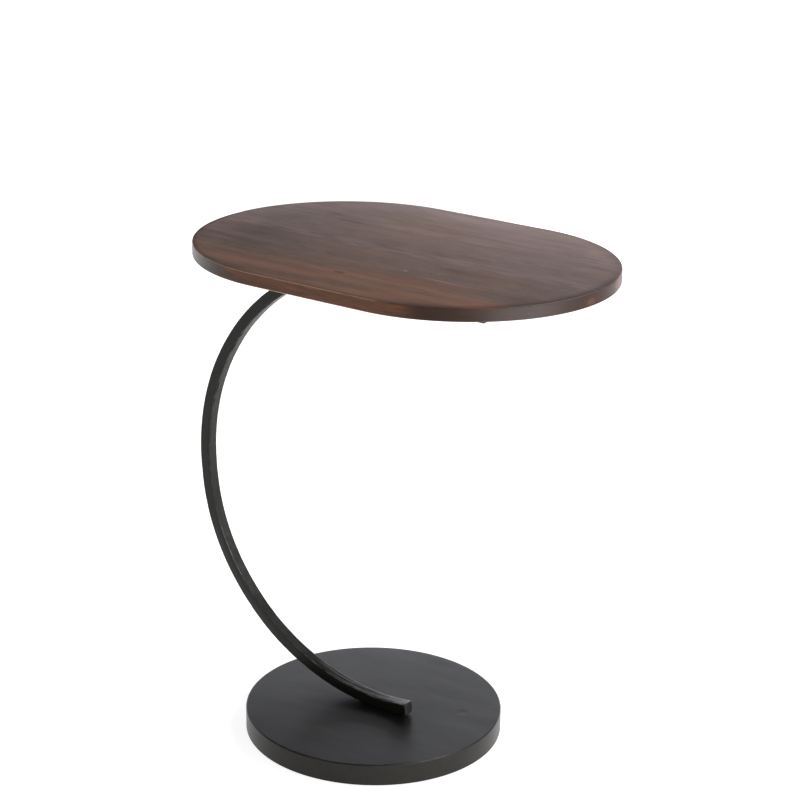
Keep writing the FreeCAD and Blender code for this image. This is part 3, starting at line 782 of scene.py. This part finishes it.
def blackMaterial(name, coat, along=None):
    material, net, place, colour, rough, relief = plainFinish(name, coat)
    speck = net.grain(place, *wear["speck"])
    rub = net.grain(place, *wear["rub"])
    colour = net.blend(net.attribute("edge") * rub * coat["wornShare"], colour, coat["worn"])
    if along:
        # bare metal and painted highlights along the bar, from the arm's stored attribute
        share = wear["bareLeast"] + rub * (1 - wear["bareLeast"])
        colour = net.blend(net.attribute("bare") * share, colour, coat["bare"])
    colour = net.blend(speck * wear["speckShare"], colour, wear["speckColour"])
    rough = rough + speck * wear["speckRoughness"]
    if coat is coats["sheet"]:
        relief = net.bump(net.grain(place, *handling["wave"]), handling["waveDepth"], relief)
        away = net.vector("DISTANCE", place, handling["dent"], output="Value")
        relief = net.bump(net.smooth(away, *handling["dentReach"]), handling["dentDepth"], relief)
        rough = rough + net.smooth(net.part(place, "X"), *handling["dullSide"])
    if along:
        drawn = net.grain(net.attribute(along, "Vector"), *wear["drawn"])
        relief = net.bump(drawn, wear["drawnDepth"], relief)
        rough = rough + (drawn - 0.5) * wear["drawnRoughness"]
    finishMaterial(net, {"Base Color": colour, "Roughness": rough, "Normal": relief,
                         "IOR": wear["refraction"], "Specular IOR Level": coat["specular"]})
    return material


sheetBlack = blackMaterial("blackSheet", coats["sheet"])
rimBlack = blackMaterial("blackRim", coats["rim"])
finishes = {
    "black_steel": sheetBlack,
    "zinc_steel": metalMaterial("zincPlate", metals["zinc"]),
    "cast_iron": metalMaterial("castIron", metals["iron"]),
    "rubber_pad": metalMaterial("rubberPad", metals["rubber"]),
}


# Arm: a square bar swept round an arc by Geometry Nodes, its skin dented by the forge

arm = {
    "barWidth": 14 * mm,
    "cornerRadius": 0.4 * mm,
    "cornerSteps": 5,
    "tail": 42.5 * mm,
    "seatDepth": 0.8 * mm,
    "aroundStep": 0.4 * mm,
    "alongStep": 2.4 * mm,
    # how far inside the profile's corner its edge and its wider corner start and are full
    "edge": (1.4 * mm, 0.5 * mm),
    "corner": (3.2 * mm, 0.4 * mm),
    "halfSpan": 3 * mm,
    "innerSpan": (6.8 * mm, 6.2 * mm),
    "scarReach": ((0.43, 0.53, 1.0, 0.12), (0.72, 0.80, 0.0, 0.7)),
    "ridgeReach": (0.66, 0.76),
    "strayIn": (0.20, 0.33, 0.47, 0.56, 1.0 * mm),
    "strayOut": (0.50, 0.60, 0.70, 0.82, 1.2 * mm),
    "sharpAngle": 50,
}
# forge marks: how deep they go, and a noise's sizes, detail, roughness, span and shift
forge = {
    "dent": (0.12 * mm, 26 * mm, 2.0, 0.5, (0.35, 0.75)),
    "pit": (0.08 * mm, 6 * mm, 2.0, 0.6, (0.50, 0.80), (4, 7, 1)),
    "nick": (0.2 * mm, 16 * mm, 3.0, 0.6, (0.50, 0.75), (9, 2, 6)),
    "ridge": (0.45 * mm, (0.070, 0.0034, 0.0034), 2.0, 0.5, (0.30, 0.70)),
    "scar": (1.5 * mm, (17 * mm, 1.0, 1.0), 3.0, 0.55, (0.42, 0.62)),
}
# bare metal and painted highlights along the arm, each from its upper end with where it starts, is
# full, fades and
# stops, and how strong it is at most: corner lines and foot patches are partly bare metal, partly
# painted highlight, the ridge tops are painted highlight and the stretches of two faces painted
# light
bare = {
    "nearLine": (0.555, 0.590, 0.625, 0.660, 0.6),
    "nearPatches": (0.72, 0.80, 0.95, 0.99, 0.6),
    "farLine": (0.68, 0.78, 0.95, 0.99, 1.0),
    "paintedLightInner": (0.53, 0.58, 0.65, 0.70, 0.18),
    "nearFace": (0.54, 0.60, 0.70, 0.76, 0.13),
    "ridges": (0.77, 0.86, 0.95, 0.99, 0.36),
}
barePatches = ((22 * mm, 1.0, 1.0), 4.0, 0.65, (0.46, 0.56), (3, 0, 0))
# the sawn ends of the bar, with rings as shares of its half width from the rim to the middle
sawn = {
    "rings": (0.90, 0.64, 0.36, 0.14),
    "chamfer": 0.5 * mm,
    "rough": 0.35 * mm,
    "grain": 3 * mm,
    "bareRim": 0.16,
    "bareFace": 0.05,
}


class ShapeNet(Net):
    # a Geometry Nodes tree whose sizes are named inputs of the modifier
    def __init__(self, name):
        group = bpy.data.node_groups.new(name, "GeometryNodeTree")
        super().__init__(group)
        for way in ("INPUT", "OUTPUT"):
            group.interface.new_socket("Geometry", in_out=way, socket_type="NodeSocketGeometry")
        self.entry = group.nodes.new("NodeGroupInput")
        self.base = Wire(self, self.entry.outputs["Geometry"])
        self.sizes = {}

    def size(self, name, value):
        kind = "NodeSocketInt" if isinstance(value, int) else "NodeSocketFloat"
        item = self.tree.interface.new_socket(name, in_out="INPUT", socket_type=kind)
        self.sizes[item.identifier] = value
        return Wire(self, self.entry.outputs[name])

    def kept(self, shape, kind, name, value):
        return self.node("GeometryNodeStoreNamedAttribute", {"data_type": kind, "domain": "POINT"},
                         {"Geometry": shape, "Name": name, "Value": value})

    def named(self, name):
        return self.node("GeometryNodeInputNamedAttribute", {"data_type": "FLOAT"}, {"Name": name})

    def moved(self, shift, way, amount=1.0):
        # a shift with another one added, along a way
        more = self.node("ShaderNodeVectorMath", {"operation": "SCALE"}, {0: way, "Scale": amount})
        return self.vector("ADD", shift, more)

    def window(self, value, start, full, fade, stop, most):
        return self.smooth(value, start, full, 0.0, most) * self.fading(value, fade, stop)

    def placed(self, shape, **where):
        return self.node("GeometryNodeSetPosition", {}, {"Geometry": shape, **where})

    def spaced(self, line, length):
        return self.node("GeometryNodeResampleCurve", {"mode": "LENGTH"},
                         {"Curve": line, "Length": length})

    def swept(self, line, profile):
        return self.node("GeometryNodeCurveToMesh", {},
                         {"Curve": line, "Profile Curve": profile, "Fill Caps": True})

    def repeated(self, shape, points, **how):
        made = self.node("GeometryNodeInstanceOnPoints", {},
                         {"Points": points, "Instance": shape, **how})
        return self.node("GeometryNodeRealizeInstances", {}, {0: made})

    def creased(self, shape, angle):
        # edges that turn by more than the angle shade as sharp
        bend = self.node("GeometryNodeInputMeshEdgeAngle", output="Unsigned Angle")
        sharp = self.node("FunctionNodeCompare",
                          {"data_type": "FLOAT", "operation": "GREATER_THAN"},
                          {0: bend, 1: radians(angle)})
        return self.node("GeometryNodeSetShadeSmooth", {"domain": "EDGE"},
                         {"Geometry": shape, "Selection": sharp, "Shade Smooth": False})

    def finished(self, name, shape, material, mesh=None):
        # ends the tree and runs it on a mesh
        shape = self.node("GeometryNodeRealizeInstances", {}, {0: shape})
        shape = self.node("GeometryNodeSetMaterial", {}, {"Geometry": shape, "Material": material})
        self.node("NodeGroupOutput", {}, {0: shape})
        piece = newPiece(name, mesh or bpy.data.meshes.new(name), [])
        modifier = piece.modifiers.new(name, "NODES")
        modifier.node_group = self.tree
        for identifier, value in self.sizes.items():
            modifier[identifier] = value
        return frozen(piece)


def sawEnds(piece):
    # each flat cap becomes a rough sawn face with a ground rim, a little inside the bar's end
    shape = opened(piece.data)
    bareness = shape.verts.layers.float["bare"]

    def sunk(point, normal, most):
        return point - normal * most * (0.5 + 0.5 * noise.noise(point / sawn["grain"]))

    for cap in [face for face in shape.faces if len(face.verts) > 4]:
        normal = cap.normal.copy()
        middle = cap.calc_center_median()
        ring = list(cap.verts)
        bmesh.ops.delete(shape, geom=[cap], context="FACES_ONLY")
        first = [vertex.co.copy() for vertex in ring]
        for share in sawn["rings"]:
            following = []
            for corner, vertex in zip(first, ring):
                point = middle + (corner - middle) * share
                made = shape.verts.new(sunk(point, normal, sawn["rough"]), vertex)
                made[bareness] = sawn["bareFace"]
                following.append(made)
            for k in range(len(ring)):
                after = (k + 1) % len(ring)
                shape.faces.new((ring[k], ring[after], following[after], following[k]))
            if share == sawn["rings"][0]:
                for vertex in ring:
                    vertex[bareness] = sawn["bareRim"]
                    vertex.co = sunk(vertex.co, normal, 2 * sawn["chamfer"])
            ring = following
        pole = shape.verts.new(sunk(middle, normal, sawn["rough"]), ring[0])
        for k in range(len(ring)):
            shape.faces.new((ring[k], ring[(k + 1) % len(ring)], pole))
    bmesh.ops.recalc_face_normals(shape, faces=shape.faces)
    saved(shape, piece.data)


def rolledBar(net, middle, place):
    # the square profile swept round the arc, with how far each point lies along it
    tail = asin(arm["tail"] / middle)
    sweep = pi + 2 * tail
    width = net.size("Bar Width", arm["barWidth"])
    corner = net.size("Corner Radius", arm["cornerRadius"])
    steps = round(middle * sweep / arm["alongStep"])
    arc = net.node("GeometryNodeCurveArc", {"mode": "RADIUS"},
                   {"Radius": net.size("Bar Radius", middle),
                    "Start Angle": net.size("Start Angle", pi / 2 - tail),
                    "Sweep Angle": net.size("Sweep Angle", sweep),
                    "Resolution": net.size("Steps Along", steps)})
    arc = net.kept(arc, "FLOAT", "reach", net.node("GeometryNodeSplineParameter", output="Length"))
    profile = net.node("GeometryNodeCurvePrimitiveQuadrilateral", {"mode": "RECTANGLE"},
                       {"Width": width, "Height": width})
    profile = net.node("GeometryNodeFilletCurve", {"mode": "POLY"},
                       {"Curve": profile, "Count": arm["cornerSteps"], "Radius": corner,
                        "Limit Radius": True})
    profile = net.spaced(profile, net.size("Step Around", arm["aroundStep"]))
    spot = net.node("GeometryNodeInputPosition")
    off = sum(net.maths("ABSOLUTE", net.part(spot, axis)) for axis in "XY")
    for name in ("edge", "corner"):
        start, full = arm[name]
        profile = net.kept(profile, "FLOAT", name, net.smooth(off, width - start, width - full))
    return net.node("GeometryNodeTransform", {},
                    {"Geometry": net.swept(arc, profile), "Rotation": (pi / 2, 0, 0),
                     "Translation": place})


def makeArm():
    # the bar's circle comes from its leftmost point and the two seats
    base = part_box("base_cover")[1].z
    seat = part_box("spine")[0].z
    outer = (seat - base) / 2 + arm["seatDepth"]
    middle = outer - arm["barWidth"] / 2
    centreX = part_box("c_arm")[0].x + outer
    centreZ = (base + seat) / 2
    net = ShapeNet("rolledBar")
    bar = rolledBar(net, middle, (centreX, 0, centreZ))
    # where a point lies on the bar: how far out from the arc's centre, and which corner
    spot = net.node("GeometryNodeInputPosition")
    x, y, z = [net.part(spot, axis) for axis in "XYZ"]
    offX = x - centreX
    offZ = z - centreZ
    away = (offX * offX + offZ * offZ) ** 0.5
    outward = net.joined(offX / away, 0.0, offZ / away)
    inner = net.fading(away, middle - arm["halfSpan"], middle + arm["halfSpan"])
    innerFace = net.fading(away, *[middle - depth for depth in arm["innerSpan"]])
    near = net.fading(y, -arm["halfSpan"], arm["halfSpan"])
    edge = net.named("edge")
    reach = net.named("reach")
    drawn = net.joined(reach, y, away)
    along = net.joined(reach, 0.0, 0.0)
    # forge marks: only ever inwards, deeper along the four corners
    spots = {"dent": spot, "pit": spot, "nick": spot, "ridge": drawn, "scar": along}
    marks = {key: net.grain(place, *forge[key][1:]) for key, place in spots.items()}
    depths = {key: net.size(key.capitalize() + " Depth", forge[key][0]) for key in forge}
    sunk = {key: marks[key] * depths[key] for key in forge}
    ridged = innerFace * net.smooth(reach, *arm["ridgeReach"])
    sink = sunk["dent"] + sunk["pit"] + sunk["nick"] * edge + sunk["ridge"] * ridged
    shift = net.moved((0, 0, 0), net.node("GeometryNodeInputNormal"), -sink)
    # scars eat into the near inner corner, slantwise towards the bar's middle
    scarred = sum(net.smooth(reach, *stretch) for stretch in arm["scarReach"])
    inwards = net.moved(net.joined(0.0, -y, 0.0), outward, middle - away)
    scars = sunk["scar"] * scarred * net.named("corner") * inner * near
    shift = net.moved(shift, net.vector("NORMALIZE", inwards), scars)
    # the bar was bent by hand, so it strays a little from its circle
    stray = net.window(reach, *arm["strayOut"]) - net.window(reach, *arm["strayIn"])
    shift = net.moved(shift, outward, stray)
    # bare metal and painted highlights: lines on the inner corners, patches near the foot, painted
    # highlights on the ridge tops and painted light on stretches of two faces
    line = edge * inner
    places = {
        "nearLine": line * near,
        "nearPatches": line * near * net.grain(along, *barePatches),
        "farLine": line * (1.0 - near),
        "paintedLightInner": innerFace,
        "nearFace": near * (1.0 - inner * near),
        "ridges": innerFace * (1.0 - marks["ridge"]),
    }
    worn = sum(share * net.window(reach, *bare[key]) for key, share in places.items())
    bar = net.kept(bar, "FLOAT", "bare", worn)
    bar = net.kept(bar, "FLOAT_VECTOR", "drawn", drawn)
    bar = net.placed(bar, Offset=shift)
    # the two ground seats stay flat
    level = net.maths("MINIMUM", net.maths("MAXIMUM", z, base), seat)
    bar = net.creased(net.placed(bar, Position=net.joined(x, y, level)), arm["sharpAngle"])
    piece = net.finished("cArmPiece", bar, blackMaterial("blackBar", coats["bar"], along="drawn"))
    sawEnds(piece)
    settle(piece, ["c_arm"])


makeArm()
print("arm made")


# Flat bars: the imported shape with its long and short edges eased

flatBar = {
    "ease": 0.6 * mm,
    "steps": 3,
    "wornWidth": 0.8,
}


def easedBar(node):
    low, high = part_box(node)
    shape = opened(frame["nodes"][node].data)
    bmesh.ops.remove_doubles(shape, verts=shape.verts, dist=1e-6)
    bmesh.ops.dissolve_limit(shape, angle_limit=radians(1), verts=shape.verts, edges=shape.edges)

    def depth(point):
        # how far a point lies inside the second nearest of the bar's three pairs of faces
        return sorted(min(point[k] - low[k], high[k] - point[k]) for k in range(3))[1]

    def outer(edge):
        first, last = [vertex.co for vertex in edge.verts]
        return all(depth(point) < 1e-5 for point in (first, last, (first + last) / 2))

    bmesh.ops.bevel(shape, geom=[edge for edge in shape.edges if outer(edge)],
                    offset=flatBar["ease"], offset_type="OFFSET", segments=flatBar["steps"],
                    profile=0.5, affect="EDGES", clamp_overlap=True)
    layer = shape.verts.layers.float.new("edge")
    for vertex in shape.verts:
        vertex[layer] = max(0.0, 1 - depth(vertex.co) / (flatBar["wornWidth"] * flatBar["ease"]))
    name = pieceName(node)
    mesh = bpy.data.meshes.new(name)
    saved(shape, mesh)
    settle(flatNormals(newPiece(name, mesh, [sheetBlack])), [node])


for barNode in ("cleat_left", "cleat_right", "spine"):
    easedBar(barNode)
print("flat bars eased")


# Weld beads where the spine's sides meet the undersides of the cleats

weld = {
    "radius": 2.4 * mm,
    "ripple": 1.3 * mm,
    "rippleShare": 0.10,
    "short": 1.5 * mm,
    "step": 0.22 * mm,
    "taper": 1.6 * mm,
    "endShare": 0.35,
    "around": 16,
}


def makeWelds():
    low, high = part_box("spine")
    places = []
    for node in ("cleat_left", "cleat_right"):
        cleatLow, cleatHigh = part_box(node)
        run = cleatHigh.x - cleatLow.x - 2 * weld["short"]
        places += [(cleatLow.x + weld["short"], y, cleatLow.z) for y in (low.y, high.y)]
    points = bpy.data.meshes.new("weldPlaces")
    points.from_pydata(places, [], [])
    net = ShapeNet("weldBead")
    length = net.size("Bead Length", run)
    pitch = net.size("Ripple Pitch", weld["ripple"])
    depth = net.size("Ripple Share", weld["rippleShare"])
    taper = net.size("Taper", weld["taper"])
    line = net.node("GeometryNodeCurvePrimitiveLine", {"mode": "POINTS"},
                    {"End": net.joined(length, 0.0, 0.0)})
    line = net.spaced(line, net.size("Step", weld["step"]))
    reach = net.node("GeometryNodeSplineParameter", output="Length")
    wave = net.maths("ABSOLUTE", net.maths("SINE", reach * pi / pitch))
    swell = 1.0 - depth + depth * wave
    for away in (reach, length - reach):
        swell = swell * net.smooth(away, 0.0, taper, weld["endShare"], 1.0)
    line = net.node("GeometryNodeSetCurveRadius", {}, {"Curve": line, "Radius": swell})
    ring = net.node("GeometryNodeCurvePrimitiveCircle", {"mode": "RADIUS"},
                    {"Resolution": net.size("Steps Around", weld["around"]),
                     "Radius": net.size("Bead Radius", weld["radius"])})
    beads = net.repeated(net.swept(line, ring), net.base)
    piece = net.finished("weldBeadsPiece", beads, sheetBlack, points)
    mendMesh(piece.data)
    settle(piece, [])


makeWelds()
print("welds made")


# Screws: one pan head with a hexagon socket, repeated along each cleat by Geometry Nodes

screw = {
    "shank": 1.95 * mm,
    "tip": 0.39 * mm,
    "headRound": 0.9 * mm,
    "headSteps": 6,
    "seatBreak": 0.1 * mm,
    "socketFlats": 2.5 * mm,
    "socketDepth": 1.4 * mm,
    "socketChamfer": 0.35 * mm,
    "drillRadius": 0.3 * mm,
    "drillDepth": 0.4 * mm,
    "around": 48,
    "count": 4,
    "endInset": 29 * mm,
    "thread": 1.4 * mm,
    "threadDepth": 0.35 * mm,
    "sharpAngle": 35,
    "seed": 5,
}


def screwMesh(low, high, seatZ, name):
    head = (high.x - low.x) / 2
    shank = screw["shank"]
    turns = [2 * pi * k / screw["around"] for k in range(screw["around"])]

    def circle(radius, z):
        return [(radius * cos(turn), radius * sin(turn), z) for turn in turns]

    def socket(z):
        # a hexagon's side lies nearest in the middle of each sixth of a turn
        half = screw["socketFlats"] / 2
        reaches = [half / cos((turn + pi / 6) % (pi / 3) - pi / 6) for turn in turns]
        return [(reach * cos(turn), reach * sin(turn), z) for reach, turn in zip(reaches, turns)]

    rings = [circle(screw["tip"], high.z)]
    z = high.z - 2 * shank
    while z > seatZ + screw["thread"]:
        # a crest and a root for each turn of the thread
        rings.append(circle(shank, z))
        rings.append(circle(shank - screw["threadDepth"], z - screw["thread"] / 2))
        z -= screw["thread"]
    side = [(shank, seatZ), (head - screw["seatBreak"], seatZ), (head, seatZ - screw["seatBreak"])]
    rounding = screw["headRound"]
    side += rounded((head - rounding, low.z + rounding), rounding, 0, -90, screw["headSteps"])
    mouth = screw["socketFlats"] / 2 + screw["socketChamfer"]
    side.append((mouth / cos(pi / 6), low.z))
    rings += [circle(*point) for point in side]
    floor = low.z + screw["socketDepth"]
    rings += [socket(low.z + screw["socketChamfer"]), socket(floor),
              circle(screw["drillRadius"], floor + screw["drillDepth"])]
    piece = loft(name, rings, [])
    mesh = piece.data
    bpy.data.objects.remove(piece)
    return mesh


def screwRow(node, cleat):
    low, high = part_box(node)
    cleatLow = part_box(cleat)[0]
    first = cleatLow.y + screw["endInset"]
    pitch = -2 * first / (screw["count"] - 1)
    net = ShapeNet("screwRow")
    offset = net.joined(0.0, net.size("Pitch", pitch), 0.0)
    start = net.joined(net.size("Row X", (low.x + high.x) / 2), net.size("First Y", first), 0.0)
    points = net.node("GeometryNodeMeshLine", {"mode": "OFFSET", "count_mode": "TOTAL"},
                      {"Count": net.size("Count", screw["count"]), "Start Location": start,
                       "Offset": offset})
    turned = net.node("FunctionNodeRandomValue", {"data_type": "FLOAT"},
                      {2: 0.0, 3: 2 * pi, "Seed": screw["seed"]}, output=1)
    row = net.repeated(net.base, points, Rotation=net.joined(0.0, 0.0, turned))
    piece = net.finished(pieceName(node), net.creased(row, screw["sharpAngle"]),
                         finishes["zinc_steel"], screwMesh(low, high, cleatLow.z, node))
    settle(piece, [node])


screwRow("cleat_screws_left", "cleat_left")
screwRow("cleat_screws_right", "cleat_right")
print("screws made")


# Base, and everything turned

cover = {
    "edgeRadius": 1.5 * mm,
    "edgeSteps": 8,
    "wall": 2 * mm,
    "lip": 0.4 * mm,
    "lipSteps": 3,
    "faceRings": (0.0, 0.25, 0.5, 0.75, 0.95),
    "wornAt": 0.4,
    "rimSlope": 0.7,
    "around": 240,
}
pad = {
    "edgeRadius": 1 * mm,
    "edgeSteps": 5,
    "grooveWidth": 2.6 * mm,
    "grooveDepth": 0.8 * mm,
    "groovePitch": 9 * mm,
    "firstGroove": 18 * mm,
    "grooveCount": 14,
    "around": 180,
}


def lathe(name, profile, around, material):
    # turns a closed profile of (radius, level) pairs about Z; points on the axis become poles
    turns = [2 * pi * step / around for step in range(around)]
    rings = [[(r * cos(turn), r * sin(turn), z) for r, z in profile] for turn in turns]
    return loft(name, rings, [material], closed=True)


def makeCover():
    low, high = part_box("base_cover")
    outer = high.x
    edge = cover["edgeRadius"]
    inner = outer - cover["wall"]
    ceiling = high.z - cover["wall"]
    lip = cover["lip"]
    profile = [(share * outer, high.z) for share in cover["faceRings"]]
    profile += rounded((outer - edge, high.z - edge), edge, 90, 0, cover["edgeSteps"])
    profile += rounded((outer - lip, low.z + lip), lip, 0, -90, cover["lipSteps"])
    profile += rounded((inner + lip, low.z + lip), lip, -90, -180, cover["lipSteps"])
    profile += [(inner, ceiling), (0.0, ceiling)]
    piece = lathe("baseCoverPiece", profile, cover["around"], sheetBlack)
    worn = piece.data.attributes["edge"].data
    for value, vertex in zip(worn, piece.data.vertices):
        away = hypot(outer - hypot(vertex.co.x, vertex.co.y), high.z - vertex.co.z)
        value.value = max(0.0, 1 - abs(away - edge * cover["wornAt"]) / edge)
    piece = flatNormals(piece)
    # side faces take the lighter rim coat: painted light on the base's sides
    piece.data.materials.append(rimBlack)
    for face in piece.data.polygons:
        face.material_index = int(face.normal.z < cover["rimSlope"])
    settle(piece, ["base_cover"])


def makePad():
    low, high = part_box("floor_pad")
    edge = pad["edgeRadius"]
    depth = pad["grooveDepth"]
    half = pad["grooveWidth"] / 2
    profile = [(0.0, low.z)]
    for k in range(pad["grooveCount"]):
        middle = pad["firstGroove"] + k * pad["groovePitch"]
        profile += [(middle - half, low.z), (middle - half + depth / 2, low.z + depth),
                    (middle + half - depth / 2, low.z + depth), (middle + half, low.z)]
    profile += rounded((high.x - edge, low.z + edge), edge, -90, 0, pad["edgeSteps"])
    profile += [(high.x, high.z), (0.0, high.z)]
    piece = lathe("floorPadPiece", profile, pad["around"], finishes["rubber_pad"])
    settle(flatNormals(piece), ["floor_pad"])


makeCover()
makePad()
print("base and pad made")


# The rest keep their shape and get a finish

def finishCadNodes():
    slots = {row["node"]: row["material_slot"] for row in frame["record"]["subparts"]}
    for node, carried in frame["nodes"].items():
        if not carried.hide_render:
            for place in carried.material_slots:
                place.material = finishes[slots[node]]


finishCadNodes()
print("carried pieces finished")
